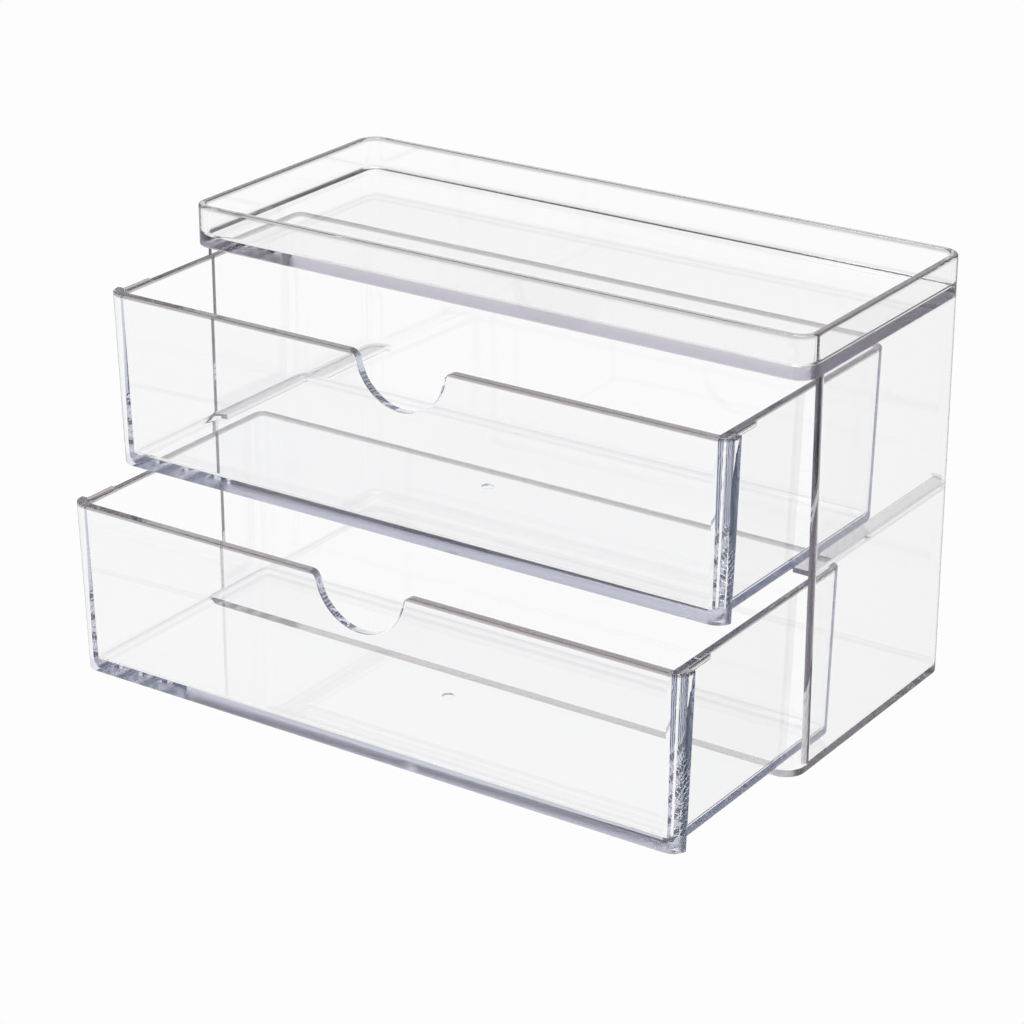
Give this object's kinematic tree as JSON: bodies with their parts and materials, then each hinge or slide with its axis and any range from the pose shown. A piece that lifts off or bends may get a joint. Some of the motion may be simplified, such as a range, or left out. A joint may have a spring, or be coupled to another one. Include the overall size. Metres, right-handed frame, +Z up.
{
  "type": "two-drawer cotton pad holder",
  "caption": "Clear plastic box with a rimmed tray on top and stacked pull-out drawers with round finger notches, for cotton pads and swabs.",
  "frame": {"origin": "centre of the casing's flat underside, where it stands on a table", "axes": "+Z up, +X to the right along the front, +Y to the back; the drawers open towards -Y"},
  "size_m": [0.165, 0.1175, 0.1026],
  "materials": {
    "casing_plastic": "clear, polished",
    "drawer_plastic": "clear, polished"
  },
  "bodies": {
    "casing": {"casing": "casing_plastic"},
    "upper_drawer": {"upper_drawer": "drawer_plastic"},
    "lower_drawer": {"lower_drawer": "drawer_plastic"}
  },
  "joints": [
    {"name": "upper_drawer_slide", "type": "slide", "parent": "casing", "child": "upper_drawer", "axis": [0, -1, 0], "range_m": [-0.0316, 0.025]},
    {"name": "lower_drawer_slide", "type": "slide", "parent": "casing", "child": "lower_drawer", "axis": [0, -1, 0], "range_m": [-0.0476, 0.009]}
  ]
}
